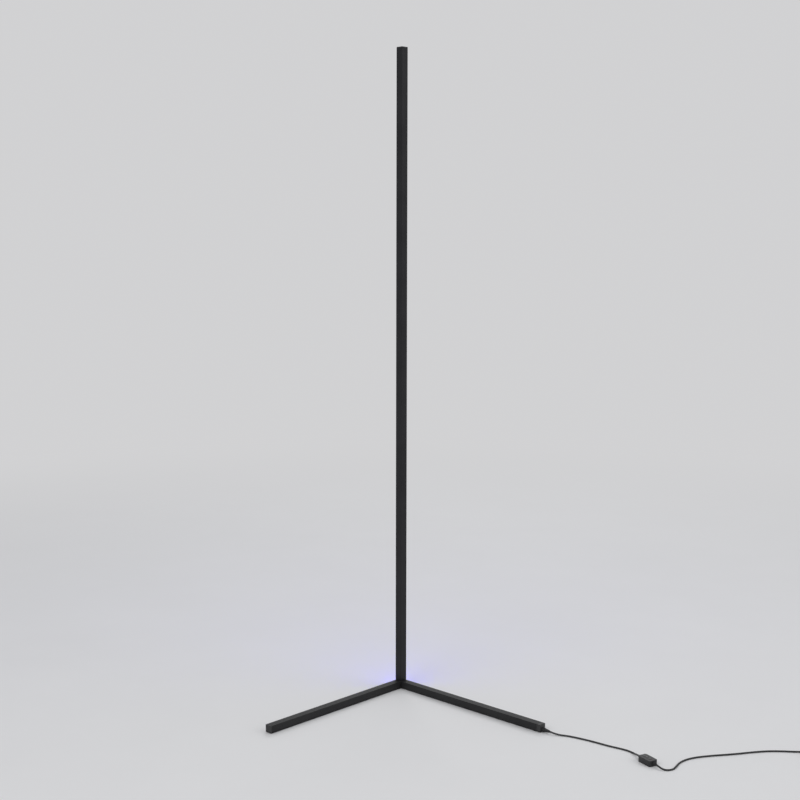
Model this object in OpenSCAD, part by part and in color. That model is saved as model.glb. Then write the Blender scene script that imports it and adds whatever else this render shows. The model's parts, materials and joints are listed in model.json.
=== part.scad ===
// Corner floor lamp: a slim upright light bar on two legs laid out at a right angle,
// with a low-voltage lead, an inline controller and a plug-in power adapter.
// Millimetres. Origin: mast axis at floor level. +Z up, the legs open towards -Y, +X right.

/* [Mast] */
// Width of each of the two front faces of the mast channel
mast_w = 17; // [15:0.5:17]
// Wall of the mast channel
mast_wall = 1.4; // [1:0.1:1.8]
// Depth of the closed front cavity, from the corner to the web along one face
web_reach = 12.5; // [11.5:0.1:12.5]
// Thickness of the web that carries the light strip
web_wall = 1.2; // [0.8:0.1:1.4]
// Length of one mast section
section_len = 467; // [300:1:600]
// Thickness of the milky diffuser
diffuser_wall = 1.2; // [0.8:0.1:1.4]
// Width and height of the ledges that the diffuser rests on
ledge = 0.9; // [0.6:0.1:1.2]
// Gap round the diffuser where it clips in
diffuser_gap = 0.1; // [0.05:0.01:0.2]
// Thickness of the top cap
cap_t = 2; // [1.5:0.5:4]
// Length of the lug under the top cap
cap_lug_len = 12; // [8:1:20]

/* [Joiners] */
// Length of the bar that joins two mast sections
joiner_len = 80; // [60:5:120]
// Gap between a joiner bar and the cavity that it slides in
joiner_gap = 0.12; // [0.05:0.01:0.2]
// Radius of the grub screws
grub_r = 1.5; // [1:0.1:1.6]
// Length of the grub screws
grub_len = 3; // [2.5:0.1:3.5]
// Distance of a grub screw from the end of its mast section
grub_inset = 6; // [5:0.5:7]

/* [Light strip] */
// Width of the light strip
strip_w = 8; // [6:0.5:9]
// Thickness of the light strip
strip_t = 0.4; // [0.3:0.1:0.5]
// Bare web left at each end of a strip
strip_inset = 16; // [14:0.5:20]
// Side of one light chip
led_side = 5; // [3.5:0.1:5.5]
// Height of one light chip
led_h = 1.4; // [1:0.1:1.6]
// Pitch of the light chips
led_pitch = 16.667; // [10:0.001:30]
// Length of a strip connector housing
link_len = 7; // [5:0.5:8]
// Width of a strip connector housing
link_w = 9; // [8:0.5:9.5]
// Height of a strip connector housing
link_h = 2.2; // [1.8:0.1:2.6]
// Radius of the wires between two strip connectors
link_wire_r = 0.5; // [0.3:0.05:0.6]

/* [Legs] */
// Width of the leg tubes and of the corner block
leg_w = 17; // [17:0.5:20]
// Height of the leg tubes and of the corner block
leg_h = 16; // [16:0.5:20]
// Wall of the leg tubes
leg_wall = 1.2; // [1:0.1:1.4]
// Length of each leg tube
leg_len = 386; // [250:1:500]
// Thickness of the plain end cap on the left leg
plain_cap_t = 3; // [2:0.5:12]
// Thickness of the cable-exit cap on the right leg
exit_cap_t = 10; // [8:0.5:14]
// Length of an end cap's plug inside its tube
cap_plug_len = 10; // [6:1:20]
// Wall of an end cap's hollow plug
cap_plug_wall = 1.5; // [1:0.1:1.6]
// Length of the corner block's spigots inside the tubes
spigot_len = 30; // [24:1:50]
// Gap between a plug or spigot and its tube
spigot_gap = 0.1; // [0.05:0.01:0.2]
// Radius of the leg screws
leg_screw_r = 1.5; // [1.2:0.1:1.6]
// Length of the leg screws
leg_screw_len = 8; // [6:0.5:9]

/* [Feet] */
// Thickness of the rubber foot pads
pad_t = 1; // [1:0.5:3]
// Side of the square pad under the corner
corner_pad_side = 15; // [12:0.5:16]
// Length of the pads under the leg ends
leg_pad_len = 30; // [20:1:40]
// Width of the pads under the leg ends
leg_pad_w = 12; // [8:0.5:14]
// Corner radius of the pads
pad_corner_r = 2; // [1:0.5:3.5]
// Distance from a tube's end to the middle of its pad
leg_pad_inset = 24; // [20:1:40]

/* [Post] */
// Height of the post above the corner block
post_rise = 45; // [30:1:60]
// Depth of the post's pocket in the corner block
post_sink = 5; // [3:0.5:5]
// Radius of the post screw
post_screw_r = 1.5; // [1.2:0.1:1.6]
// Length of the post screw
post_screw_len = 18; // [14:1:18]

/* [Lead] */
// Diameter of the round lead
lead_d = 3.5; // [3:0.1:3.5]
// Height of the lead where it runs inside the right leg
lead_z = 5.5; // [5.5:0.1:6]
// Gap round the lead where it runs in a bore
lead_gap = 0.45; // [0.3:0.05:0.5]
// Inner bend radius of the lead inside the corner block
lead_bend_r = 7; // [6:0.5:7]
// Length of the tapered strain relief on the right leg
exit_boot_len = 18; // [14:1:20]
// Radius of that strain relief at the cap
exit_boot_r = 4.5; // [3.5:0.1:4.5]
// Radius of every strain relief where the lead leaves it
boot_tip_r = 2.4; // [2.1:0.1:2.6]

/* [Controller] */
// Length of the inline controller
ctrl_l = 36; // [36:0.5:40]
// Width of the inline controller
ctrl_w = 20; // [20:0.5:26]
// Height of the inline controller
ctrl_h = 12; // [12:0.5:13]
// Wall of the controller's shells
ctrl_wall = 1.3; // [1:0.1:1.5]
// Roof and floor thickness of the controller's shells
ctrl_skin = 1.5; // [1.2:0.1:1.6]
// Corner radius of the controller
ctrl_corner_r = 3.5; // [2.5:0.5:5]
// Height of the lip that lines up the two shells
ctrl_lip_h = 1; // [0.6:0.1:1.4]
// Gap round that lip
ctrl_lip_gap = 0.1; // [0.05:0.01:0.2]
// Length of the controller's two strain reliefs
ctrl_boot_len = 8; // [6:0.5:10]
// Radius of the controller's strain reliefs at its walls
ctrl_boot_r = 3.4; // [3:0.1:4]
// Length of the controller board
board_l = 29; // [28:0.5:30]
// Width of the controller board
board_w = 15; // [14:0.5:16]
// Thickness of the controller board
board_t = 1.2; // [0.8:0.1:1.4]
// Height of the posts under the controller board
board_post_h = 1.5; // [1.2:0.1:1.7]

/* [Buttons] */
// Radius of the button caps
button_r = 2.6; // [2:0.1:2.8]
// Distance from button to button
button_pitch = 8.5; // [8:0.1:8.5]
// Height of the button caps above the cover
button_proud = 0.9; // [0.7:0.1:1.5]
// Radial gap round a button in its hole
button_gap = 0.1; // [0.05:0.01:0.15]
// Radial width of the flange that holds a button in
button_flange = 0.7; // [0.5:0.1:0.8]
// Thickness of that flange
button_flange_t = 0.8; // [0.5:0.1:1]
// Travel of a button
button_travel = 0.5; // [0.3:0.05:0.6]
// Radius of a button's stem
stem_r = 1.2; // [0.9:0.1:1.4]
// Side of a key switch
switch_side = 4.5; // [4:0.1:5]
// Height of a key switch
switch_h = 3; // [2.5:0.1:3.4]

/* [Coil] */
// Radius of the coil at its outermost loop
coil_out_r = 24; // [22:0.5:28]
// Step from loop to loop across the coil, and from layer to layer
coil_pitch = 4; // [3.95:0.05:4.2]
// Length of lead between the coil and the adapter
coil_tail = 24; // [20:1:30]
// Width of the tie round the coil
tie_w = 6; // [4:0.5:8]
// Thickness of the tie
tie_t = 0.6; // [0.4:0.1:0.7]

/* [Adapter] */
// Length of the power adapter
adapter_l = 68; // [64:1:80]
// Width of the power adapter
adapter_w = 40; // [38:1:50]
// Thickness of the power adapter
adapter_t = 28; // [27:1:32]
// Wall of the adapter's shells
adapter_wall = 1.8; // [1.4:0.1:2.2]
// Corner radius of the adapter
adapter_corner_r = 5; // [3:0.5:8]
// Length of the adapter's strain relief
adapter_boot_len = 12; // [10:1:16]
// Radius of the adapter's strain relief at its wall
adapter_boot_r = 4.2; // [3.6:0.1:4.6]
// Radius of the plug pins
pin_r = 2; // [1.6:0.1:2.4]
// Straight length of a plug pin outside the adapter
pin_len = 18; // [14:1:20]
// Length of the tapered tip of a plug pin
pin_tip = 1; // [0.5:0.1:1.5]
// Distance between the plug pins
pin_pitch = 19; // [17:0.5:20]
// Distance of the pins from the far end of the adapter
pin_inset = 14; // [12:1:20]

/* [Hidden] */
$fn = 48;
eps = 0.01;
section_count = 3;

// ---- mast
leg_top = pad_t + leg_h;
section_z = [for (i = [0:section_count - 1]) leg_top + i * section_len];
mast_top = leg_top + section_count * section_len;
half_diag = mast_w / sqrt(2);
web_front_y = -half_diag + web_reach / sqrt(2);
seat_y = web_front_y + web_wall;
strip_len = section_len - 2 * strip_inset;
led_count = floor((strip_len - led_side) / led_pitch) + 1;
thread_gap = 0.05;
resistor = [2, 0.5, 1.2];
resistor_x = 1;
link_wire_pitch = 1.6;

// ---- post screw, in the middle of the triangle between the faces and the web
tri_leg = web_reach - 2 * mast_wall;
post_screw_y = -half_diag + (mast_wall + tri_leg * (1 - sqrt(0.5))) * sqrt(2);
pocket_floor = leg_top - post_sink;

// ---- legs
half_leg = leg_w / 2;
tube_end = half_leg + leg_len;
exit_end = tube_end + exit_cap_t;
bore_w = leg_w - 2 * leg_wall;
bore_h = leg_h - 2 * leg_wall;
leg_screw_x = half_leg + spigot_len / 2;
leg_screw_edge = 2.8;
leg_screw_y = bore_w / 2 - leg_screw_edge;
countersink = 1.6;
head_ratio = 1.8;
recess_w = 0.5;
recess_depth = 0.8;

// ---- lead inside the lamp
lead_r = lead_d / 2;
lead_bore_r = lead_r + lead_gap;
boot_neck_r = lead_bore_r - thread_gap;
boot_neck_in = 2;
riser_clear = 1.2;
riser_y = seat_y + strip_t + lead_r + riser_clear;
riser_side = riser_y / sqrt(2);
riser_end = leg_top + strip_inset - link_len;
chamber_roof = 1.2;
chamber_top = pocket_floor - chamber_roof;
chamber_low = [-riser_side - lead_bore_r, -lead_r];
chamber_high = [lead_bend_r - riser_side, riser_side + lead_bore_r];

// ---- controller: its place, its turn and its inner heights
ctrl_at = [469, -457];
ctrl_turn = -62;
split_z = ctrl_h / 2;
board_z = ctrl_skin + board_post_h;
board_top = board_z + board_t;
switch_top = board_top + switch_h;
first_button_x = -10.5;
button_x = [for (i = [0:2]) first_button_x + i * button_pitch];
button_chamfer = 0.3;
stem_dip = 0.3;
window_x = 12.5;
window_r = 1.5;
window_dome = 0.3;
receiver = [3, 5];
receiver_clear = 0.2;
board_post_r = 1.3;
board_post_inset = [3, 2.5];
ctrl_flange = 1;
// Parts on the controller board: x, y, length, width, height
ctrl_parts = [
    [-8.8, 3, 5, 3.8, 1.5], [0.5, 3.2, 3, 2.6, 1.1], [5, 3.2, 3, 2.6, 1.1], [-4, -6.2, 3.2, 2.6, 1.2]];
roof_under = ctrl_h - ctrl_skin;
ctrl_reach = ctrl_l / 2 + ctrl_boot_len;

// ---- coil and adapter
coil_at = [826, -434];
coil_layers = 4;
coil_loops = 2;
coil_sides = 6;
rings_per_loop = 24;
coil_turns = coil_layers * coil_loops;
coil_in_r = coil_out_r - coil_pitch * coil_loops;
coil_lift = tie_t + 0.1;
coil_z0 = coil_lift + lead_r;
coil_top_z = coil_z0 + (coil_layers - 1) * coil_pitch;
adapter_at = [coil_at[0] + coil_tail + adapter_boot_len, coil_at[1] + coil_out_r];
adapter_mid = adapter_t / 2;
adapter_post_h = 4;
adapter_post_r = 2;
adapter_post_inset = [8, 6];
adapter_board_z = adapter_wall + adapter_post_h;
adapter_board_t = 1.6;
adapter_board_gap = 1;
adapter_board_top = adapter_board_z + adapter_board_t;
adapter_flange_r = 1.4;
adapter_flange_t = 1.5;
pin_step = 0.6;
pin_shank_r = pin_r + pin_step;
pin_boss_h = 4;
pin_boss_wall = 1.6;
transformer_at = [24, -11];
core = [18, 22];
core_low_h = 3;
core_high_h = 2;
winding_inset = 2;
winding_h = 8;
capacitor_at = [14, 8];
capacitor_r = 5;
capacitor_h = 12;
capacitor_chamfer = 0.6;

// ---- free stretches of the lead: the ends meet the pieces, the points between are chosen by hand
exit_tip = [(exit_end + exit_boot_len) / sqrt(2), -(exit_end + exit_boot_len) / sqrt(2), lead_z];
inlet_tip = [ctrl_at[0] - ctrl_reach * cos(ctrl_turn), ctrl_at[1] - ctrl_reach * sin(ctrl_turn), split_z];
outlet_tip = [ctrl_at[0] + ctrl_reach * cos(ctrl_turn), ctrl_at[1] + ctrl_reach * sin(ctrl_turn), split_z];
coil_start = [coil_at[0] - lead_d, coil_at[1] + coil_out_r, coil_z0];
lamp_route = [
    exit_tip, [303, -302.6, 5], [310, -306.5, 3.6], [319, -309.5, 2.3],
    [329, -312.5, 1.8], [340, -317.5, 1.75], [351, -324.5, 1.75], [362, -332, 1.75],
    [373, -340, 1.75], [384, -349, 1.75], [394, -357.5, 1.75], [404, -366, 1.75],
    [414, -374, 1.75], [424, -381, 1.75], [434, -388.5, 1.75], [443, -397, 1.75],
    [449.5, -407, 2], [453, -418, 3.4], [455, -427, 5.2], inlet_tip];
supply_route = [
    outlet_tip, [483.5, -484.3, 5.6], [487, -489, 4.2], [492, -493, 2.6],
    [499, -495, 1.8], [507, -493.5, 1.75], [514, -488, 1.75], [519.5, -479.5, 1.75],
    [525, -470, 1.75], [532, -459.5, 1.75], [541, -450, 1.75], [552, -442, 1.75],
    [564, -436, 1.75], [577, -431.5, 1.75], [591, -428, 1.75], [606, -425, 1.75],
    [622, -422.5, 1.75], [638, -420, 1.75], [654, -417, 1.75], [670, -413.5, 1.75],
    [686, -410, 1.75], [702, -407, 1.75], [718, -405, 1.75], [734, -404.5, 1.75],
    [750, -405.5, 1.75], [766, -407.5, 1.75], [782, -409, 1.75], [798, -409.8, 1.8],
    [810, -410, 2.2], coil_start];

// ================= shared shapes =================

// Plan of the mast: origin at its front corner, its two faces along +X and +Y
module from_front_corner() {
    translate([0, -half_diag, 0]) rotate([0, 0, 45]) children();
}

// A leg lies along +X here: side 1 is the right leg, side -1 the left leg
module on_leg(side) {
    rotate([0, 0, side > 0 ? -45 : -135]) children();
}

// Box from x = start to x = end, centred on y, from z = low to z = high
module bar(start, end, width, low, high) {
    translate([start, -width / 2, low]) cube([end - start, width, high - low]);
}

module round_plate(length, width, r) {
    square([length - 2 * r, width], center = true);
    square([length, width - 2 * r], center = true);
    for (x = [-1, 1], y = [-1, 1]) translate([x * (length / 2 - r), y * (width / 2 - r)]) circle(r);
}

// Cylinder along +X from x = start to x = end
module rod(r, start, end) {
    translate([start, 0, 0]) rotate([0, 90, 0]) cylinder(r = r, h = end - start);
}

// Triangle between the two faces and the web, drawn in by gap on all sides
module cavity_triangle(gap) {
    low = mast_wall + gap;
    far = web_reach - gap * sqrt(2) - low;
    polygon([[low, low], [far, low], [low, far]]);
}

// Countersunk screw pointing up from z = 0, with a cross recess in its head
module countersunk_screw(r, length) {
    difference() {
        union() {
            cylinder(r1 = head_ratio * r, r2 = r, h = countersink);
            translate([0, 0, countersink - eps]) cylinder(r = r, h = length - countersink + eps);
        }
        for (turn = [0, 90]) rotate([0, 0, turn]) translate([-r, -recess_w / 2, -eps])
            cube([2 * r, recess_w, recess_depth]);
    }
}

module countersunk_hole(r, length) {
    translate([0, 0, -eps])
        cylinder(r1 = head_ratio * r + spigot_gap, r2 = r + thread_gap, h = countersink + eps);
    cylinder(r = r + thread_gap, h = length);
}

// Tapered strain relief along +X from x = 0, with four grooves round it
module taper_boot(length, base_r, tip_r) {
    groove = 0.35;
    collar = length * 0.2;
    rib = (length - collar) / 8;
    function outer(z) = base_r + (tip_r - base_r) * max(0, z - collar) / (length - collar);
    rotate([0, 90, 0]) rotate_extrude() polygon(concat(
        [[0, 0], [base_r, 0]],
        [for (i = [0:3]) let (z = collar + 2 * i * rib)
            each [[outer(z), z], [outer(z) - groove, z],
                [outer(z + rib) - groove, z + rib], [outer(z + rib), z + rib]]],
        [[tip_r, length], [0, length]]));
}

// Neck and inner flange that hold a strain relief in a wall whose outside is at x = 0
module boot_neck(wall, flange_r, flange_t) {
    rod(boot_neck_r, -wall - thread_gap - flange_t, eps);
    rod(flange_r, -wall - thread_gap - flange_t, -wall - thread_gap);
}

// ---- tube swept along a route, as one closed polyhedron
function unit(v) = v / norm(v);
function heading(route, i, first, last) =
    i == 0 && first != undef ? first
    : i == len(route) - 1 && last != undef ? last
    : unit(route[min(i + 1, len(route) - 1)] - route[max(i - 1, 0)]);
function ring(centre, along, r, sides, side) =
    [for (k = [0:sides - 1]) let (a = 360 * (k + 0.5) / sides)
        centre + r * (cos(a) * side + sin(a) * cross(along, side))];

// A level route takes its side from +Z, and one that climbs is given its own side
module tube(route, r, sides, first = undef, last = undef, side = undef) {
    n = len(route);
    points = [for (i = [0:n - 1]) let (along = heading(route, i, first, last))
        each ring(route[i], along, r, sides, side == undef ? unit(cross([0, 0, 1], along)) : side)];
    skin = [for (i = [0:n - 2], k = [0:sides - 1])
        let (a = i * sides + k, b = i * sides + (k + 1) % sides)
        each [[a, b, b + sides], [a, b + sides, a + sides]]];
    start_face = [for (k = [1:sides - 2]) [0, k + 1, k]];
    end_face = [for (k = [1:sides - 2]) [(n - 1) * sides, (n - 1) * sides + k, (n - 1) * sides + k + 1]];
    polyhedron(points, concat(skin, start_face, end_face), convexity = 10);
}

// ================= mast =================

module channel_outline() {
    difference() {
        square(mast_w);
        difference() {
            translate([mast_wall, mast_wall]) square(mast_w);
            polygon([[0, web_reach], [web_reach, 0],
                [web_reach + web_wall * sqrt(2), 0], [0, web_reach + web_wall * sqrt(2)]]);
        }
    }
    sink = mast_wall / 2;
    reach = mast_wall + ledge;
    ledge_at = sqrt(pow(mast_w - diffuser_wall - diffuser_gap, 2) - pow(reach, 2)) - ledge;
    translate([ledge_at, sink]) square([ledge, reach - sink]);
    translate([sink, ledge_at]) square([reach - sink, ledge]);
}

module grub_hole(z) {
    translate([0, seat_y - grub_len - thread_gap, z]) rotate([-90, 0, 0])
        cylinder(r = grub_r + thread_gap, h = grub_len + 1);
}

function grub_heights() = concat(
    [for (z = section_z) z + grub_inset],
    [for (i = [0:section_count - 2]) section_z[i] + section_len - grub_inset]);

module mast_profile(i) {
    color([0.05, 0.05, 0.055])
    difference() {
        translate([0, 0, section_z[i]]) linear_extrude(section_len) from_front_corner() channel_outline();
        grub_hole(section_z[i] + grub_inset);
        if (i < section_count - 1) grub_hole(section_z[i] + section_len - grub_inset);
    }
}

module diffuser(i) {
    edge = mast_wall + diffuser_gap;
    color([0.93, 0.92, 0.95])
    translate([0, 0, section_z[i] + diffuser_gap])
        linear_extrude(section_len - 2 * diffuser_gap) from_front_corner() intersection() {
            difference() {
                circle(mast_w, $fn = 96);
                circle(mast_w - diffuser_wall, $fn = 96);
            }
            translate([edge, edge]) square(mast_w);
        }
}

function led_z(i, k) = section_z[i] + section_len / 2 + (k - (led_count - 1) / 2) * led_pitch;

module light_strip(i) {
    color([0.92, 0.92, 0.9]) {
        translate([-strip_w / 2, seat_y, section_z[i] + strip_inset]) cube([strip_w, strip_t, strip_len]);
        for (k = [0:led_count - 2])
            translate([resistor_x, seat_y + strip_t - eps, led_z(i, k) + (led_pitch - resistor[2]) / 2])
                cube(resistor);
    }
}

module light_chips(i) {
    color([0.98, 0.97, 0.85])
    for (k = [0:led_count - 1])
        translate([-led_side / 2, seat_y + strip_t, led_z(i, k) - led_side / 2])
            cube([led_side, led_h, led_side]);
}

module mast_joiner(i) {
    joint = section_z[i + 1];
    color([0.7, 0.7, 0.72])
    difference() {
        translate([0, 0, joint - joiner_len / 2]) linear_extrude(joiner_len)
            from_front_corner() cavity_triangle(joiner_gap);
        for (side = [-1, 1]) grub_hole(joint + side * grub_inset);
    }
}

module strip_link(i) {
    joint = section_z[i + 1];
    reach = strip_inset - link_len;
    color([0.95, 0.95, 0.95]) {
        for (low = [joint - strip_inset, joint + reach])
            translate([-link_w / 2, seat_y, low]) cube([link_w, link_h, link_len]);
        for (k = [-1.5:1:1.5])
            translate([k * link_wire_pitch, seat_y + link_h / 2, joint - reach - eps])
                cylinder(r = link_wire_r, h = 2 * (reach + eps), $fn = 16);
    }
}

module grub_screws() {
    color([0.25, 0.25, 0.27])
    for (z = grub_heights()) translate([0, seat_y - grub_len, z]) rotate([-90, 0, 0]) difference() {
        cylinder(r = grub_r, h = grub_len);
        translate([0, 0, grub_len - 1.5]) cylinder(r = grub_r * 0.55, h = 2, $fn = 6);
    }
}

module top_cap() {
    color([0.04, 0.04, 0.045]) {
        translate([0, 0, mast_top]) linear_extrude(cap_t) from_front_corner() intersection() {
            circle(mast_w, $fn = 96);
            square(mast_w);
        }
        translate([0, 0, mast_top - cap_lug_len]) linear_extrude(cap_lug_len + eps)
            from_front_corner() cavity_triangle(joiner_gap);
    }
}

// ================= corner and legs =================

module corner_block() {
    low = pad_t + leg_wall + spigot_gap;
    high = leg_top - leg_wall - spigot_gap;
    color([0.06, 0.06, 0.06])
    difference() {
        union() {
            rotate([0, 0, 45]) bar(-half_leg, half_leg, leg_w, pad_t, leg_top);
            for (side = [-1, 1]) on_leg(side)
                bar(half_leg - eps, half_leg + spigot_len, bore_w - 2 * spigot_gap, low, high);
        }
        translate([0, 0, pocket_floor]) linear_extrude(post_sink + 1) from_front_corner() cavity_triangle(0);
        translate([0, post_screw_y, pad_t]) countersunk_hole(post_screw_r, leg_h);
        for (side = [-1, 1]) on_leg(side)
            translate([leg_screw_x, leg_screw_y, pad_t]) countersunk_hole(leg_screw_r, leg_screw_len + 1);
        on_leg(1) {
            translate([0, 0, lead_z]) rod(lead_bore_r, 0, half_leg + spigot_len + 1);
            translate([chamber_low[0], chamber_low[1], pad_t - 1]) cube([chamber_high[0] - chamber_low[0],
                chamber_high[1] - chamber_low[1], chamber_top - pad_t + 1]);
        }
        translate([0, riser_y, chamber_top - 1]) cylinder(r = lead_bore_r, h = leg_top - chamber_top + 2);
    }
}

module mast_post() {
    color([0.72, 0.72, 0.74])
    difference() {
        translate([0, 0, pocket_floor]) linear_extrude(post_sink + post_rise)
            from_front_corner() cavity_triangle(joiner_gap);
        translate([0, post_screw_y, pocket_floor - 1])
            cylinder(r = post_screw_r + thread_gap, h = pad_t + post_screw_len - pocket_floor + 2);
        grub_hole(leg_top + grub_inset);
    }
}

module post_screw() {
    color([0.75, 0.75, 0.77])
    translate([0, post_screw_y, pad_t]) countersunk_screw(post_screw_r, post_screw_len);
}

module leg_tube(side) {
    color([0.05, 0.05, 0.055])
    on_leg(side) difference() {
        bar(half_leg, tube_end, leg_w, pad_t, leg_top);
        bar(half_leg - 1, tube_end + 1, bore_w, pad_t + leg_wall, leg_top - leg_wall);
        translate([leg_screw_x, leg_screw_y, pad_t]) countersunk_hole(leg_screw_r, leg_wall + 1);
    }
}

module leg_screws() {
    color([0.75, 0.75, 0.77])
    for (side = [-1, 1]) on_leg(side)
        translate([leg_screw_x, leg_screw_y, pad_t]) countersunk_screw(leg_screw_r, leg_screw_len);
}

// Plate over a tube's end with a hollow plug inside it
module end_cap(thick) {
    low = pad_t + leg_wall + spigot_gap;
    high = leg_top - leg_wall - spigot_gap;
    plug_w = bore_w - 2 * spigot_gap;
    bar(tube_end, tube_end + thick, leg_w, pad_t, leg_top);
    difference() {
        bar(tube_end - cap_plug_len, tube_end + eps, plug_w, low, high);
        bar(tube_end - cap_plug_len - 1, tube_end, plug_w - 2 * cap_plug_wall,
            low + cap_plug_wall, high - cap_plug_wall);
    }
}

module end_cap_left() {
    color([0.04, 0.04, 0.04]) on_leg(-1) end_cap(plain_cap_t);
}

module end_cap_right() {
    color([0.04, 0.04, 0.04])
    on_leg(1) difference() {
        end_cap(exit_cap_t);
        translate([0, 0, lead_z]) rod(lead_bore_r, tube_end - cap_plug_len - 1, exit_end + 1);
    }
}

module foot_pad_corner() {
    color([0.1, 0.1, 0.1])
    rotate([0, 0, 45]) linear_extrude(pad_t) round_plate(corner_pad_side, corner_pad_side, pad_corner_r);
}

module foot_pad(side) {
    color([0.1, 0.1, 0.1])
    on_leg(side) translate([tube_end - leg_pad_inset, 0, 0])
        linear_extrude(pad_t) round_plate(leg_pad_len, leg_pad_w, pad_corner_r);
}

// ================= lead inside the lamp =================

module internal_lead() {
    bend = [for (a = [0:22.5:90])
        [-riser_side + lead_bend_r * (1 - sin(a)), riser_side * (0.3 + 0.7 * a / 90),
            lead_z + lead_bend_r * (1 - cos(a))]];
    route = concat(
        [[tube_end - boot_neck_in, 0, lead_z], [half_leg + spigot_len, 0, lead_z]], bend,
        [[-riser_side, riser_side, riser_end]]);
    color([0.08, 0.08, 0.08])
    on_leg(1) tube(route, lead_r, 8, [-1, 0, 0], [0, 0, 1], [0, 1, 0]);
}

module lead_connector() {
    collar_wall = 0.5;
    back = riser_y + lead_r + collar_wall;
    color([0.95, 0.95, 0.95])
    for (part = [[link_w, link_h], [2 * (lead_r + collar_wall), back - seat_y]])
        translate([-part[0] / 2, seat_y, riser_end]) cube([part[0], part[1], link_len]);
}

module exit_boot() {
    color([0.05, 0.05, 0.05])
    on_leg(1) translate([exit_end, 0, lead_z]) {
        rod(boot_neck_r, -exit_cap_t - boot_neck_in, eps);
        taper_boot(exit_boot_len, exit_boot_r, boot_tip_r);
    }
}

module lamp_lead() {
    color([0.06, 0.06, 0.06])
    tube(lamp_route, lead_r, 8, [cos(-45), sin(-45), 0], [cos(ctrl_turn), sin(ctrl_turn), 0]);
}

// ================= controller =================

module at_controller() {
    translate([ctrl_at[0], ctrl_at[1], 0]) rotate([0, 0, ctrl_turn]) children();
}

// Outline of the controller, drawn in by inset
module ctrl_outline(inset) {
    round_plate(ctrl_l - 2 * inset, ctrl_w - 2 * inset, ctrl_corner_r - inset);
}

module ctrl_lead_holes() {
    translate([0, 0, split_z]) rod(lead_bore_r, -ctrl_l, ctrl_l);
}

module controller_base() {
    color([0.07, 0.07, 0.07])
    at_controller() {
        difference() {
            union() {
                linear_extrude(split_z) ctrl_outline(0);
                linear_extrude(split_z + ctrl_lip_h) ctrl_outline(ctrl_wall / 2 + ctrl_lip_gap);
            }
            translate([0, 0, ctrl_skin]) linear_extrude(ctrl_h) ctrl_outline(ctrl_wall);
            ctrl_lead_holes();
        }
        for (x = [-1, 1], y = [-1, 1])
            translate([x * (board_l / 2 - board_post_inset[0]), y * (board_w / 2 - board_post_inset[1]),
                ctrl_skin - eps]) cylinder(r = board_post_r, h = board_post_h + eps);
    }
}

module controller_cover() {
    color([0.07, 0.07, 0.07])
    at_controller() difference() {
        translate([0, 0, split_z]) linear_extrude(ctrl_h - split_z) ctrl_outline(0);
        translate([0, 0, split_z - 1]) linear_extrude(roof_under - split_z + 1) ctrl_outline(ctrl_wall);
        translate([0, 0, split_z - 1]) linear_extrude(ctrl_lip_h + 1 + ctrl_lip_gap)
            ctrl_outline(ctrl_wall / 2);
        ctrl_lead_holes();
        for (x = button_x) translate([x, 0, roof_under - 1])
            cylinder(r = button_r + button_gap, h = ctrl_skin + 2);
        translate([window_x, 0, roof_under - 1]) cylinder(r = window_r + thread_gap, h = ctrl_skin + 2);
    }
}

module controller_board() {
    color([0.1, 0.35, 0.16])
    at_controller() translate([0, 0, board_z]) linear_extrude(board_t)
        square([board_l, board_w], center = true);
}

module controller_switches() {
    dip = stem_dip + button_travel + 0.2;
    color([0.15, 0.15, 0.16])
    at_controller() for (x = button_x) translate([x, 0, board_top]) difference() {
        linear_extrude(switch_h) square(switch_side, center = true);
        translate([0, 0, switch_h - dip]) cylinder(r = stem_r + button_gap, h = dip + 1);
    }
}

module controller_parts() {
    color([0.12, 0.12, 0.13])
    at_controller() translate([0, 0, board_top]) {
        for (p = ctrl_parts) translate([p[0], p[1], 0]) cube([p[2], p[3], p[4]]);
        translate([window_x - receiver[0] / 2, -receiver[1] / 2, 0])
            cube([receiver[0], receiver[1], roof_under - receiver_clear - board_top]);
    }
}

module receiver_window() {
    color([0.25, 0.03, 0.05])
    at_controller() translate([window_x, 0, roof_under]) {
        cylinder(r = window_r, h = ctrl_skin + eps);
        translate([0, 0, ctrl_skin])
            cylinder(r1 = window_r, r2 = window_r - 2 * window_dome, h = window_dome);
    }
}

module button(i) {
    flange_top = roof_under - thread_gap;
    cap_top = ctrl_h + button_proud;
    color([0.2, 0.2, 0.21])
    at_controller() translate([button_x[i], 0, 0]) {
        translate([0, 0, switch_top - stem_dip]) cylinder(r = stem_r, h = flange_top - switch_top + stem_dip);
        translate([0, 0, flange_top - button_flange_t])
            cylinder(r = button_r + button_flange, h = button_flange_t);
        translate([0, 0, flange_top - eps])
            cylinder(r = button_r, h = cap_top - button_chamfer - flange_top + eps);
        translate([0, 0, cap_top - button_chamfer])
            cylinder(r1 = button_r, r2 = button_r - button_chamfer, h = button_chamfer);
    }
}

module controller_boot(end) {
    color([0.05, 0.05, 0.05])
    at_controller() rotate([0, 0, end > 0 ? 0 : 180]) translate([ctrl_l / 2, 0, split_z]) {
        boot_neck(ctrl_wall, boot_neck_r + ctrl_flange, ctrl_flange);
        taper_boot(ctrl_boot_len, ctrl_boot_r, boot_tip_r);
    }
}

// ================= supply lead, coil and tie =================

module supply_lead() {
    color([0.06, 0.06, 0.06])
    tube(supply_route, lead_r, 8, [cos(ctrl_turn), sin(ctrl_turn), 0], [1, 0, 0]);
}

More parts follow.
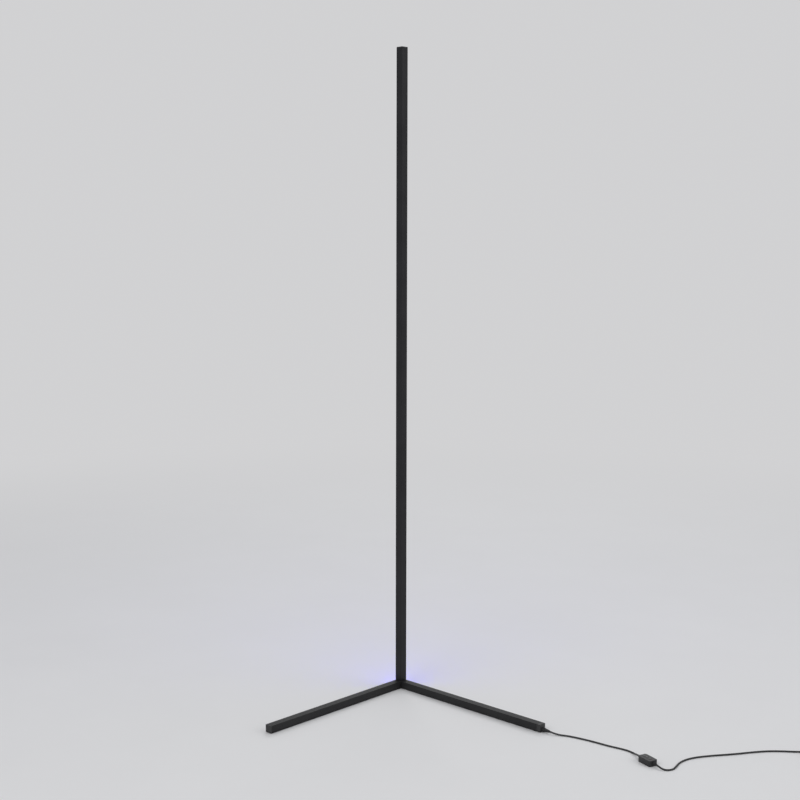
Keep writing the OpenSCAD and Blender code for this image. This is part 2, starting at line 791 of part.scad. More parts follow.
// Radius and height of the coil after t turns: it spirals in and out at one rate,
// and climbs a layer in the half turn round each reversal
function coil_phase(t) = t - 2 * coil_loops * floor(t / (2 * coil_loops));
function coil_r(t) = coil_in_r + coil_pitch * abs(coil_phase(t) - coil_loops);
function ease(x) = let (u = min(1, max(0, x))) u * u * (3 - 2 * u);
function coil_climb(t, m) =
    m >= coil_layers ? 0 : ease((t - m * coil_loops) * 2 + 0.5) + coil_climb(t, m + 1);
function coil_point(t) = [
    coil_at[0] + coil_r(t) * sin(360 * t), coil_at[1] + coil_r(t) * cos(360 * t),
    coil_z0 + coil_pitch * coil_climb(t, 1)];
coil_wound = [for (i = [0:coil_turns * rings_per_loop]) coil_point(i / rings_per_loop)];
coil_end = [adapter_at[0] - adapter_boot_len, adapter_at[1], coil_top_z];
coil_route = concat([coil_start], coil_wound, [coil_end - [coil_tail - lead_d, 0, 0], coil_end]);
// Least gap of the coil to itself, from points half a turn or more apart
coil_least = min([
    for (i = [0:len(coil_wound) - 1], j = [i + rings_per_loop / 2:1:len(coil_wound) - 1])
        norm(coil_wound[i] - coil_wound[j])]) - lead_d;

module lead_coil() {
    echo(coil_least_gap = coil_least);
    color([0.06, 0.06, 0.06]) tube(coil_route, lead_r, coil_sides, [1, 0, 0], [1, 0, 0]);
}

module coil_tie() {
    slack = 0.3;
    inner_w = coil_pitch * (coil_loops - 1) + lead_d + 2 * slack;
    inner_h = coil_top_z + lead_r + slack - tie_t;
    mid_r = coil_out_r - coil_pitch * coil_loops / 2;
    corner_r = 1.5;
    color([0.12, 0.12, 0.12])
    translate([coil_at[0] - tie_w / 2, coil_at[1] - mid_r, tie_t + inner_h / 2]) rotate([90, 0, 90])
        linear_extrude(tie_w) difference() {
            round_plate(inner_w + 2 * tie_t, inner_h + 2 * tie_t, corner_r + tie_t);
            round_plate(inner_w, inner_h, corner_r);
        }
}

// ================= power adapter =================

module at_adapter() {
    translate([adapter_at[0], adapter_at[1], 0]) children();
}

module adapter_outline(inset) {
    translate([adapter_l / 2, 0])
        round_plate(adapter_l - 2 * inset, adapter_w - 2 * inset, adapter_corner_r - inset);
}

module adapter_lead_hole() {
    translate([0, 0, coil_top_z]) rod(lead_bore_r, -1, adapter_wall + 1);
}

module adapter_boot() {
    color([0.05, 0.05, 0.05])
    at_adapter() translate([0, 0, coil_top_z]) rotate([0, 0, 180]) {
        boot_neck(adapter_wall, boot_neck_r + adapter_flange_r, adapter_flange_t);
        taper_boot(adapter_boot_len, adapter_boot_r, boot_tip_r);
    }
}

module adapter_base() {
    color([0.07, 0.07, 0.07])
    at_adapter() {
        difference() {
            linear_extrude(adapter_mid) adapter_outline(0);
            translate([0, 0, adapter_wall]) linear_extrude(adapter_mid) adapter_outline(adapter_wall);
            adapter_lead_hole();
        }
        for (x = [adapter_post_inset[0], adapter_l - adapter_post_inset[0]], y = [-1, 1])
            translate([x, y * (adapter_w / 2 - adapter_post_inset[1]), adapter_wall - eps])
                cylinder(r = adapter_post_r, h = adapter_post_h + eps);
    }
}

module pin_places() {
    for (y = [-1, 1]) translate([adapter_l - pin_inset, y * pin_pitch / 2, 0]) children();
}

module adapter_cover() {
    boss_low = adapter_t - adapter_wall - pin_boss_h;
    color([0.07, 0.07, 0.07])
    at_adapter() difference() {
        union() {
            difference() {
                translate([0, 0, adapter_mid]) linear_extrude(adapter_t - adapter_mid) adapter_outline(0);
                translate([0, 0, adapter_mid - 1]) linear_extrude(adapter_t - adapter_wall - adapter_mid + 1)
                    adapter_outline(adapter_wall);
            }
            pin_places() translate([0, 0, boss_low])
                cylinder(r = pin_shank_r + pin_boss_wall, h = pin_boss_h + eps);
        }
        adapter_lead_hole();
        pin_places() translate([0, 0, boss_low - 1])
            cylinder(r = pin_shank_r + thread_gap, h = pin_boss_h + adapter_wall + 2);
    }
}

module plug_pins() {
    color([0.8, 0.78, 0.72])
    at_adapter() pin_places() {
        translate([0, 0, adapter_t - adapter_wall - pin_boss_h])
            cylinder(r = pin_shank_r, h = pin_boss_h + adapter_wall);
        translate([0, 0, adapter_t - eps]) cylinder(r = pin_r, h = pin_len + eps);
        translate([0, 0, adapter_t + pin_len]) cylinder(r1 = pin_r, r2 = pin_r - pin_step, h = pin_tip);
    }
}

module adapter_board() {
    color([0.1, 0.35, 0.16])
    at_adapter() translate([0, 0, adapter_board_z]) linear_extrude(adapter_board_t)
        adapter_outline(adapter_wall + adapter_board_gap);
}

module adapter_transformer() {
    color([0.85, 0.7, 0.2])
    at_adapter() translate([transformer_at[0], transformer_at[1], adapter_board_top]) {
        cube([core[0], core[1], core_low_h]);
        translate([winding_inset, winding_inset, core_low_h - eps])
            cube([core[0] - 2 * winding_inset, core[1] - 2 * winding_inset, winding_h + 2 * eps]);
        translate([0, 0, core_low_h + winding_h]) cube([core[0], core[1], core_high_h]);
    }
}

module adapter_capacitor() {
    color([0.1, 0.12, 0.3])
    at_adapter() translate([capacitor_at[0], capacitor_at[1], adapter_board_top]) {
        cylinder(r = capacitor_r, h = capacitor_h);
        translate([0, 0, capacitor_h - eps])
            cylinder(r1 = capacitor_r, r2 = capacitor_r - capacitor_chamfer, h = capacitor_chamfer);
    }
}

// ================= one line for each piece =================

mast_profile(0);  // mast_profile_lower
mast_profile(1);  // mast_profile_middle
mast_profile(2);  // mast_profile_upper
diffuser(0);  // diffuser_lower
diffuser(1);  // diffuser_middle
diffuser(2);  // diffuser_upper
light_strip(0);  // light_strip_lower
light_strip(1);  // light_strip_middle
light_strip(2);  // light_strip_upper
light_chips(0);  // light_chips_lower
light_chips(1);  // light_chips_middle
light_chips(2);  // light_chips_upper
mast_joiner(0);  // mast_joiner_lower
mast_joiner(1);  // mast_joiner_upper
strip_link(0);  // strip_link_lower
strip_link(1);  // strip_link_upper
grub_screws();
top_cap();
corner_block();
mast_post();
post_screw();
leg_tube(-1);  // leg_tube_left
leg_tube(1);  // leg_tube_right
leg_screws();
end_cap_left();
end_cap_right();
foot_pad_corner();
foot_pad(-1);  // foot_pad_left
foot_pad(1);  // foot_pad_right
internal_lead();
lead_connector();
exit_boot();
lamp_lead();
controller_base();
controller_cover();
controller_board();
controller_switches();
controller_parts();
receiver_window();
button(0);  // power_button
button(1);  // mode_button
button(2);  // colour_button
controller_boot(-1);  // controller_inlet_boot
controller_boot(1);  // controller_outlet_boot
supply_lead();
lead_coil();
coil_tie();
adapter_boot();
adapter_base();
adapter_cover();
plug_pins();
adapter_board();
adapter_transformer();
adapter_capacitor();
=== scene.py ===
import json
import math

import bmesh
import bpy
from mathutils import Matrix, Vector


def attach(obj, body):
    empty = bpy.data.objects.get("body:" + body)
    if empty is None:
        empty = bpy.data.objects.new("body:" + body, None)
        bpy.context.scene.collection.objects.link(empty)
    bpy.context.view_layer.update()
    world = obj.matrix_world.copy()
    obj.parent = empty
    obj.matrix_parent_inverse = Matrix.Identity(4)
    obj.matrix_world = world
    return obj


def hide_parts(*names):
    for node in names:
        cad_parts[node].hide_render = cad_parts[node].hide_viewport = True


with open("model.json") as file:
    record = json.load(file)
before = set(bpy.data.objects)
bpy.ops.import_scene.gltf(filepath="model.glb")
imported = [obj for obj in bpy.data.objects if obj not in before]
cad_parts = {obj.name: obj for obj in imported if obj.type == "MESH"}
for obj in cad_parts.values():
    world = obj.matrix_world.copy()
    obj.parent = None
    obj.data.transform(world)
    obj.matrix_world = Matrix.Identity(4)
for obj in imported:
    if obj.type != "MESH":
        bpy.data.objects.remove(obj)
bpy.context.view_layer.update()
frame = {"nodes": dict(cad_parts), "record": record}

cad = frame["nodes"]
slot_of = {row["node"]: row["material_slot"] for row in frame["record"]["subparts"]}
body_of = {node: body for body, members in frame["record"]["behaviour"]["bodies"].items()
           for node in members}
MM = 0.001


# ================= camera =================

STAND = 2.9961473  # metres from the mast, level with the floor
ASIDE = -0.0031970  # metres to the side of the way that it faces
EYE = 1.0362133  # metres above the floor
TURN, DIP, ROLL = -0.0267053, 0.1257903, 0.0019247  # radians
FOCAL_PIXELS = 1364.4866
PICTURE_PIXELS = 800
SENSOR = 36  # mm


def stand_camera():
    """Camera where the photograph was taken, about 3 m in front of the mast at chest height."""
    ahead = Vector((-math.sin(TURN) * math.cos(DIP), math.cos(TURN) * math.cos(DIP),
                    -math.sin(DIP)))
    level = Vector((math.cos(TURN), math.sin(TURN), 0))
    over = level.cross(ahead)
    right = math.cos(ROLL) * level + math.sin(ROLL) * over
    up = math.cos(ROLL) * over - math.sin(ROLL) * level
    back = Vector((math.sin(TURN), -math.cos(TURN), 0))
    place = back * STAND + level * ASIDE + Vector((0, 0, EYE))
    lens = bpy.data.cameras.new("camera")
    lens.sensor_width = SENSOR
    lens.lens = FOCAL_PIXELS * SENSOR / PICTURE_PIXELS
    camera = bpy.data.objects.new("camera", lens)
    bpy.context.scene.collection.objects.link(camera)
    facing = Matrix((right, up, -ahead)).transposed().to_4x4()
    camera.matrix_world = Matrix.Translation(place) @ facing
    bpy.context.scene.camera = camera


# ================= leads, in millimetres =================

LEAD = 3.5 * MM  # thickness, in metres

# From the strain relief on the right leg to the controller.
LAMP_ROUTE = [
    (298.752, -298.752, 5.5), (303, -302.6, 5), (310, -306.5, 3.6), (319, -309.5, 2.3),
    (329, -312.5, 1.8), (340, -317.5, 1.75), (351, -324.5, 1.75), (362, -332, 1.75),
    (373, -340, 1.75), (384, -349, 1.75), (394, -357.5, 1.75), (404, -366, 1.75),
    (414, -374, 1.75), (424, -381, 1.75), (434, -388.5, 1.75), (443, -397, 1.75),
    (449.5, -407, 2), (453, -418, 3.4), (455, -427, 5.2), (456.794, -434.043, 6)]

# From the controller to the put-away coil.
SUPPLY_ROUTE = [
    (481.206, -479.957, 6), (483.5, -484.3, 5.6), (487, -489, 4.2), (492, -493, 2.6),
    (499, -495, 1.8), (507, -493.5, 1.75), (514, -488, 1.75), (519.5, -479.5, 1.75),
    (525, -470, 1.75), (532, -459.5, 1.75), (541, -450, 1.75), (552, -442, 1.75),
    (564, -436, 1.75), (577, -431.5, 1.75), (591, -428, 1.75), (606, -425, 1.75),
    (622, -422.5, 1.75), (638, -420, 1.75), (654, -417, 1.75), (670, -413.5, 1.75),
    (686, -410, 1.75), (702, -407, 1.75), (718, -405, 1.75), (734, -404.5, 1.75),
    (750, -405.5, 1.75), (766, -407.5, 1.75), (782, -409, 1.75), (798, -409.8, 1.8),
    (810, -410, 2.2)]

COIL_MIDDLE = (826, -434)
COIL_LAYERS = 4
COIL_LOOPS = 2  # in each layer
COIL_INNER = 16  # radius of the innermost loop
COIL_PITCH = 4  # from loop to loop and from layer to layer
COIL_LOW = 2.45  # height of the lowest layer's middle
COIL_CLIMB = 0.5  # share of a turn that each climb takes, round a turning back
LOOP_POINTS = 24
COIL_ENTRY = 3.5  # straight lead before the first loop and after the last
ADAPTER_RUN = (24, 42)  # the lead's last points before the adapter, past the coil's middle

INNER_KNOTS = (392.5, 300, 200, 120, 70, 50, 38.5)  # along the right leg
INNER_Z = 5.5
INNER_BEND = 7  # radius of the turn up into the mast
BEND_STEPS = 4
INNER_SHIFT = 0.9672  # from the leg's middle line to the passage in the corner block
BEND_SHIFT = 0.3  # share of that shift which the lead has where the turn starts
INNER_TOP = 26


def ease(x):
    """0 up to x = 0 and 1 from x = 1, with a smooth step between."""
    u = min(1, max(0, x))
    return u * u * (3 - 2 * u)


def coil_route():
    """The put-away lead: it spirals in and out at one rate and climbs at each turning back."""
    x, y = COIL_MIDDLE
    side = y + COIL_INNER + COIL_PITCH * COIL_LOOPS
    top = COIL_LOW + COIL_PITCH * (COIL_LAYERS - 1)
    points = [(x - COIL_ENTRY, side, COIL_LOW)]
    for i in range(COIL_LAYERS * COIL_LOOPS * LOOP_POINTS + 1):
        turn = i / LOOP_POINTS
        r = COIL_INNER + COIL_PITCH * abs(turn % (2 * COIL_LOOPS) - COIL_LOOPS)
        layer = sum(ease((turn - n * COIL_LOOPS) / COIL_CLIMB + 0.5)
                    for n in range(1, COIL_LAYERS))
        points.append((x + r * math.sin(math.tau * turn), y + r * math.cos(math.tau * turn),
                       COIL_LOW + COIL_PITCH * layer))
    return points + [(x + run, side, top) for run in (COIL_ENTRY, *ADAPTER_RUN)]


def inner_route():
    """The lead inside the right leg, from the strain relief to the connector in the mast."""
    along = [(x, 0, INNER_Z) for x in INNER_KNOTS]
    for step in range(BEND_STEPS + 1):
        share = step / BEND_STEPS
        a = math.radians(90 * share)
        along.append((-INNER_SHIFT + INNER_BEND * (1 - math.sin(a)),
                      INNER_SHIFT * (BEND_SHIFT + (1 - BEND_SHIFT) * share),
                      INNER_Z + INNER_BEND * (1 - math.cos(a))))
    along.append((-INNER_SHIFT, INNER_SHIFT, INNER_TOP))
    c = math.sqrt(0.5)
    return [(c * (x + y), c * (y - x), z) for x, y, z in along]


def lead(name, points, steps=6):
    """One open spline through the points, as thick as the lead."""
    line = bpy.data.curves.new(name, "CURVE")
    line.dimensions = "3D"
    line.resolution_u = steps
    line.bevel_depth = 1  # the knots' radius is what gives the thickness
    line.bevel_resolution = 4
    line.use_fill_caps = True
    spline = line.splines.new("BEZIER")
    spline.bezier_points.add(len(points) - 1)
    for knot, point in zip(spline.bezier_points, points):
        knot.co = Vector(point) * MM
        knot.radius = LEAD / 2
        knot.handle_left_type = knot.handle_right_type = "AUTO"
    piece = bpy.data.objects.new(name, line)
    bpy.context.scene.collection.objects.link(piece)
    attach(piece, "lamp")
    return piece


# ================= pieces with eased edges =================

SHARP = math.radians(30)  # an edge that turns by more than this is a corner
STRAIGHT = math.radians(155)  # two edges that open wider than this are one line
SMOOTH = math.radians(35)  # faces that meet at less than this are shaded as one
FLAT = math.radians(0.6)  # faces that meet at less than this are made one
LONG_EDGE = 0.8  # mm; a shorter edge is a corner only where it carries on a longer one
MERGE = 0.002  # mm; corners of the loose triangles nearer than this are one
SLIVER = 0.001  # mm; shorter edges than this are dropped at the end
ROUNDING = 2  # faces across a rounded edge
FACE_WEIGHT = 100  # the large faces decide how the rounding is shaded

ADAPTER_SIDES = (-430, -390)  # mm, the two long sides
GRIP_ENDS = (893, 921)
GRIP_RIDGES = (16.2, 18.6, 21, 23.4, 25.8)
GRIP_SLOPE = 0.6
GRIP_DEPTH = 0.5
ON_SIDE = 0.01  # mm; a face's middle nearer than this to a side is on it
FACES_OUT = 0.999  # share of a flat side's normal that points straight out


def only(piece):
    bpy.ops.object.select_all(action="DESELECT")
    piece.select_set(True)
    bpy.context.view_layer.objects.active = piece


def edges_at(edge):
    """The edges that share an end with this one, itself among them."""
    return [near for vert in edge.verts for near in vert.link_edges]


def carries_on(edge, other):
    """Whether two edges that touch are one line."""
    if edge == other:
        return False
    shared = next(vert for vert in edge.verts if vert in other.verts)
    one, two = (e.other_vert(shared).co - shared.co for e in (edge, other))
    return one.angle(two) > STRAIGHT


def outward_corners(mesh, long_edge):
    """Long outward sharp edges with the short ones that carry them on, without holes' rims."""
    sharp = dict.fromkeys(e for e in mesh.edges if e.is_convex and e.calc_face_angle() > SHARP)
    line = [e for e in sharp if e.calc_length() >= long_edge * MM]
    chosen = dict.fromkeys(line)
    while line:
        edge = line.pop()
        for near in edges_at(edge):
            if near in sharp and near not in chosen and carries_on(edge, near):
                chosen[near] = None
                line.append(near)
    return chosen


def number_corners(piece, long_edge):
    """Gives the corners that touch one number, from 1 up, and returns the last number."""
    mesh = bmesh.from_edit_mesh(piece.data)
    group = mesh.edges.layers.int.new("group")
    chosen = outward_corners(mesh, long_edge)
    count = 0
    while chosen:
        count += 1
        line = [chosen.popitem()[0]]
        while line:
            edge = line.pop()
            edge[group] = count
            for near in edges_at(edge):
                if near in chosen:
                    chosen.pop(near)
                    line.append(near)
    return count


def select_corners(piece, number):
    bpy.ops.mesh.select_all(action="DESELECT")
    mesh = bmesh.from_edit_mesh(piece.data)
    group = mesh.edges.layers.int["group"]
    for edge in mesh.edges:
        if edge[group] == number:
            edge.select_set(True)
    bmesh.update_edit_mesh(piece.data)


def select_sides(piece, ends=(-math.inf, math.inf), heights=(-math.inf, math.inf)):
    """Selects the flat faces of the adapter's two long sides that lie between the places."""
    bpy.ops.mesh.select_all(action="DESELECT")
    mesh = bmesh.from_edit_mesh(piece.data)
    for face in mesh.faces:
        x, y, z = face.calc_center_median() / MM
        on_side = min(abs(y - side) for side in ADAPTER_SIDES) < ON_SIDE
        faces_out = abs(face.normal.y) > FACES_OUT
        between = ends[0] < x < ends[1] and heights[0] < z < heights[1]
        if on_side and faces_out and between:
            face.select_set(True)
    bmesh.update_edit_mesh(piece.data)


def press_grip(piece):
    """Presses a ridged finger grip into both long sides of the adapter's cover."""
    bpy.ops.mesh.select_mode(type="FACE")
    cuts = [((x, 0, 0), (1, 0, 0)) for x in GRIP_ENDS]
    cuts += [((0, 0, z), (0, 0, 1)) for z in GRIP_RIDGES]
    for place, across in cuts:
        select_sides(piece)
        bpy.ops.mesh.bisect(plane_co=Vector(place) * MM, plane_no=across)
    select_sides(piece, GRIP_ENDS, (GRIP_RIDGES[0], GRIP_RIDGES[-1]))
    bpy.ops.mesh.inset(thickness=GRIP_SLOPE * MM, depth=-GRIP_DEPTH * MM, use_individual=True)


def eased(node, width, long_edge, merge):
    """The CAD piece as one skin, with its outward sharp edges rounded as on the real one."""
    piece = bpy.data.objects.new(node + "_finished", cad[node].data.copy())
    bpy.context.scene.collection.objects.link(piece)
    only(piece)
    bpy.ops.object.mode_set(mode="EDIT")
    bpy.ops.mesh.select_all(action="SELECT")
    bpy.ops.mesh.remove_doubles(threshold=merge * MM)
    bpy.ops.mesh.dissolve_limited(angle_limit=FLAT)
    bpy.ops.mesh.select_mode(type="EDGE")
    for number in range(1, number_corners(piece, long_edge) + 1):
        select_corners(piece, number)
        bpy.ops.mesh.bevel(offset=width * MM, segments=ROUNDING, profile=0.5, affect="EDGES",
                           clamp_overlap=True)
    if node == "adapter_cover":
        press_grip(piece)
    bpy.ops.mesh.select_all(action="SELECT")
    bpy.ops.mesh.dissolve_degenerate(threshold=SLIVER * MM)
    bpy.ops.mesh.normals_make_consistent(inside=False)
    bpy.ops.object.mode_set(mode="OBJECT")
    bpy.ops.object.shade_smooth_by_angle(angle=SMOOTH)
    flat = piece.modifiers.new("flat", "WEIGHTED_NORMAL")
    flat.weight = FACE_WEIGHT
    flat.keep_sharp = True
    bpy.ops.object.modifier_apply(modifier="flat")
    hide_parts(node)
    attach(piece, body_of[node])
    return piece


# ================= shader expressions =================

class Wire:
    """A number, colour or vector that varies over a surface, with arithmetic on numbers."""

    def __init__(self, finish, socket):
        self.finish = finish
        self.socket = socket

    def _math(self, operation, *values):
        return self.finish.node("ShaderNodeMath", {"operation": operation},
                                dict(enumerate(values)))

    def __add__(self, other):
        return self._math("ADD", self, other)

    def __radd__(self, other):
        return self._math("ADD", other, self)

    def __sub__(self, other):
        return self._math("SUBTRACT", self, other)

    def __rsub__(self, other):
        return self._math("SUBTRACT", other, self)

    def __mul__(self, other):
        return self._math("MULTIPLY", self, other)

    def __rmul__(self, other):
        return self._math("MULTIPLY", other, self)

    def clamp(self, low, high):
        """0 below low and 1 above high, with a smooth step between."""
        return self.finish.node("ShaderNodeMapRange", {"interpolation_type": "SMOOTHSTEP"},
                                {0: self, 1: low, 2: high, 3: 0.0, 4: 1.0})


class Finish:
    """One procedural material: its fixed shader values, then what varies over the surface."""

    def __init__(self, name, **fixed):
        self.material = bpy.data.materials.new(name)
        self.material.use_nodes = True
        self.tree = self.material.node_tree
        self.shader = self.tree.nodes["Principled BSDF"]
        for key, value in fixed.items():
            self.shader.inputs[key.replace("_", " ")].default_value = value
        self.place = self.node("ShaderNodeTexCoord", out="Object")

    def node(self, kind, settings=None, values=None, out=0):
        made = self.tree.nodes.new(kind)
        for key, value in (settings or {}).items():
            setattr(made, key, value)
        for key, value in (values or {}).items():
            if isinstance(value, Wire):
                self.tree.links.new(value.socket, made.inputs[key])
            else:
                made.inputs[key].default_value = value
        return Wire(self, made.outputs[out])

    def stretched(self, x, y, z):
        """Object coordinates with each axis drawn out or packed."""
        return self.node("ShaderNodeMapping", None, {"Vector": self.place, "Scale": (x, y, z)})

    def noise(self, scale, detail=2.0, roughness=0.5, over=None):
        return self.node("ShaderNodeTexNoise", None, {
            "Vector": over or self.place, "Scale": scale, "Detail": detail,
            "Roughness": roughness})

    def cells(self, scale):
        return self.node("ShaderNodeTexVoronoi", None, {"Vector": self.place, "Scale": scale})

    def axis(self, name):
        return self.node("ShaderNodeSeparateXYZ", None, {0: self.place}, out=name)

    def blend(self, share, first, second):
        """Colour that goes from first to second as share goes from 0 to 1."""
        first, second = (c if isinstance(c, Wire) else (*c, 1) for c in (first, second))
        return self.node("ShaderNodeMix", {"data_type": "RGBA"},
                         {0: share, 6: first, 7: second}, out=2)

    def bump(self, height, strength, depth):
        return self.node("ShaderNodeBump", None, {
            "Height": height, "Strength": strength, "Distance": depth * MM})

    def put(self, **links):
        for key, value in links.items():
            self.tree.links.new(value.socket, self.shader.inputs[key.replace("_", " ")])
        return self.material


# ================= finishes =================

def anodised():
    """Black anodising with the fine lines of the extrusion and a few rubbed places."""
    f = Finish("black_anodised", Metallic=0.35, IOR=1.5, Specular_IOR_Level=0.32)
    draw = f.noise(1.0, 3.0, 0.6, f.stretched(2600, 2600, 26))
    cloud = f.noise(14, 3.0)
    grain = f.noise(5200, 1.0)
    rub = f.noise(90, 5.0, 0.7).clamp(0.60, 0.74) * f.noise(11, 2.0).clamp(0.5, 0.62)
    colour = f.blend(cloud.clamp(0.3, 0.7), (0.0125, 0.0125, 0.0145), (0.019, 0.019, 0.0215))
    colour = f.blend(rub * 0.35, colour, (0.07, 0.07, 0.072))
    gloss = 0.33 + 0.10 * draw + 0.10 * cloud + 0.12 * rub
    return f.put(Base_Color=colour, Roughness=gloss,
                 Normal=f.bump(draw + 0.6 * grain, 0.5, 0.08))


def powder_coat():
    """Black powder coat with its orange peel, dust and scuffs along the leg."""
    f = Finish("black_powder_coat", IOR=1.5, Specular_IOR_Level=0.28)
    peel = f.noise(1500, 2.0, 0.45)
    grain = f.cells(3600)
    cloud = f.noise(12, 3.0)
    dust = f.noise(260, 6.0, 0.75).clamp(0.62, 0.75)
    scuff = f.noise(1.0, 4.0, 0.7, f.stretched(60, 240, 60)).clamp(0.64, 0.73)
    colour = f.blend(cloud.clamp(0.3, 0.7), (0.0125, 0.0125, 0.0135), (0.0185, 0.0185, 0.0195))
    colour = f.blend(0.30 * dust + 0.25 * scuff, colour, (0.065, 0.064, 0.066))
    gloss = 0.44 + 0.10 * cloud + 0.12 * scuff
    return f.put(Base_Color=colour, Roughness=gloss,
                 Normal=f.bump(peel + 0.5 * grain, 0.7, 0.25))


def moulding(name, colour, paler, coarse, gloss, sparks=0.6):
    """Spark-textured plastic, a little paler where dust and handling catch it."""
    f = Finish(name, IOR=1.46)
    spark = f.noise(coarse, 3.0, 0.65)
    pits = f.cells(coarse * 1.4)
    cloud = f.noise(22, 3.0)
    dust = f.noise(320, 6.0, 0.75).clamp(0.60, 0.76) * f.noise(24, 2.0).clamp(0.42, 0.62)
    clouded = tuple(0.7 * a + 0.3 * b for a, b in zip(colour, paler))
    base = f.blend(cloud.clamp(0.28, 0.72), colour, clouded)
    base = f.blend(0.45 * dust, base, paler)
    rough = gloss + 0.10 * cloud + 0.12 * dust
    return f.put(Base_Color=base, Roughness=rough,
                 Normal=f.bump(spark + 0.4 * pits, sparks, 0.18))


def sheath():
    """Satin skin of the lead, with lint on it."""
    f = Finish("lead_black", IOR=1.48)
    skin = f.noise(900, 3.0, 0.55)
    long = f.noise(60, 3.0)
    lint = f.noise(700, 6.0, 0.8).clamp(0.66, 0.78)
    colour = f.blend(long.clamp(0.3, 0.7), (0.013, 0.013, 0.014), (0.021, 0.021, 0.022))
    colour = f.blend(0.4 * lint, colour, (0.085, 0.083, 0.082))
    return f.put(Base_Color=colour, Roughness=0.40 + 0.12 * long + 0.15 * lint,
                 Normal=f.bump(skin, 0.4, 0.2))


CHIP_PITCH = 16.667 * MM
RIPPLE_LEVEL = 250.5 * MM  # middle of the lowest section, where one ripple is brightest


def diffuser_milk():
    """Milky diffuser lit from behind, with one soft ripple for each pitch of the chips, and a
    base colour of painted violet glow.
    """
    f = Finish("milky_diffuser", IOR=1.49, Coat_Weight=0.1, Coat_Roughness=0.25,
               Emission_Strength=10.0)
    ripple = f.node("ShaderNodeMath", {"operation": "COSINE"},
                    {0: (f.axis("Z") - RIPPLE_LEVEL) * (math.tau / CHIP_PITCH)})
    haze = f.noise(1400, 3.0, 0.6)
    cloud = f.noise(9, 2.0)
    glow = f.blend(0.40 + 0.38 * ripple + 0.2 * cloud,
                   (0.0135, 0.0009, 0.80), (0.025, 0.0024, 1.0))
    # Painted light: the base colour is a dark violet that stands in for the glow of the LEDs
    # inside, not the diffuser's own milky colour.
    base = f.blend(cloud, (0.06, 0.045, 0.17), (0.09, 0.07, 0.21))
    return f.put(Base_Color=base, Roughness=0.42 + 0.12 * haze, Emission_Color=glow,
                 Normal=f.bump(haze, 0.15, 0.06))


def steel(name, colour, gloss):
    """Turned or drawn steel."""
    f = Finish(name, Metallic=1.0)
    turning = f.noise(1.0, 2.0, 0.6, f.stretched(300, 300, 4000))
    cloud = f.noise(120, 3.0)
    tint = f.blend(cloud, colour, tuple(min(1, c * 1.25 + 0.02) for c in colour))
    return f.put(Base_Color=tint, Roughness=gloss + 0.16 * cloud,
                 Normal=f.bump(turning, 0.15, 0.04))


def nickel():
    """Bright pins, wiped along their length and a little tarnished."""
    f = Finish("pin_nickel", Metallic=1.0)
    wipe = f.noise(1.0, 3.0, 0.6, f.stretched(700, 700, 60))
    tarnish = f.noise(150, 4.0, 0.65).clamp(0.5, 0.75)
    tint = f.blend(tarnish, (0.72, 0.70, 0.66), (0.56, 0.51, 0.43))
    return f.put(Base_Color=tint, Roughness=0.16 + 0.14 * wipe + 0.10 * tarnish,
                 Normal=f.bump(wipe, 0.12, 0.03))


def rubber(name, colour, paler):
    """Matt rubber that holds dust."""
    f = Finish(name, IOR=1.52)
    grit = f.noise(1900, 4.0, 0.7)
    cloud = f.noise(45, 3.0)
    dust = f.noise(420, 5.0, 0.8).clamp(0.58, 0.76)
    base = f.blend(cloud, colour, tuple(1.35 * c for c in colour))
    base = f.blend(0.5 * dust, base, paler)
    return f.put(Base_Color=base, Roughness=0.66 + 0.16 * cloud, Normal=f.bump(grit, 0.6, 0.22))


def board_green():
    """Solder mask over a pattern of copper runs, with bare pads."""
    f = Finish("circuit_board", IOR=1.5, Coat_Weight=0.3, Coat_Roughness=0.15)
    black, white = (0, 0, 0, 1), (1, 1, 1, 1)
    runs = f.node("ShaderNodeTexBrick", {"offset": 0.5, "squash": 0.6, "squash_frequency": 3}, {
        "Vector": f.place, "Scale": 420.0, "Mortar Size": 0.10, "Mortar Smooth": 0.1,
        "Color1": black, "Color2": black, "Mortar": white}, out="Fac")
    pads = 1 - f.cells(520).clamp(0.10, 0.16)
    weave = f.noise(2200, 2.0)
    base = f.blend(0.6 * runs, (0.012, 0.10, 0.035), (0.03, 0.21, 0.075))
    base = f.blend(pads, base, (0.62, 0.60, 0.56))
    return f.put(Base_Color=base, Roughness=0.30 + 0.15 * weave,
                 Normal=f.bump(0.6 * runs + pads, 0.3, 0.05))


def plain_plastic(name, colour, other, gloss, scale=900):
    f = Finish(name, IOR=1.48)
    grain = f.noise(scale, 3.0, 0.6)
    cloud = f.noise(60, 3.0)
    return f.put(Base_Color=f.blend(cloud, colour, other), Roughness=gloss + 0.14 * cloud,
                 Normal=f.bump(grain, 0.2, 0.05))


def window_red():
    """Dark red window that lets infrared through."""
    f = Finish("window_red", IOR=1.49, Coat_Weight=0.5, Coat_Roughness=0.05)
    depth = f.noise(300, 2.0)
    return f.put(Base_Color=f.blend(depth, (0.06, 0.003, 0.005), (0.10, 0.005, 0.008)),
                 Roughness=0.10 + 0.10 * depth)


def winding():
    """Yellow tape over a wound core, with the lay of the tape showing."""
    f = Finish("transformer_yellow", IOR=1.5)
    laps = f.node("ShaderNodeTexWave", {"wave_type": "BANDS", "bands_direction": "Z"}, {
        "Vector": f.place, "Scale": 180.0, "Distortion": 0.6, "Detail": 1.0})
    cloud = f.noise(160, 3.0)
    tape = f.blend(laps * 0.5 + cloud * 0.5, (0.55, 0.36, 0.05), (0.78, 0.58, 0.14))
    return f.put(Base_Color=tape, Roughness=0.38 + 0.2 * cloud, Normal=f.bump(laps, 0.3, 0.1))


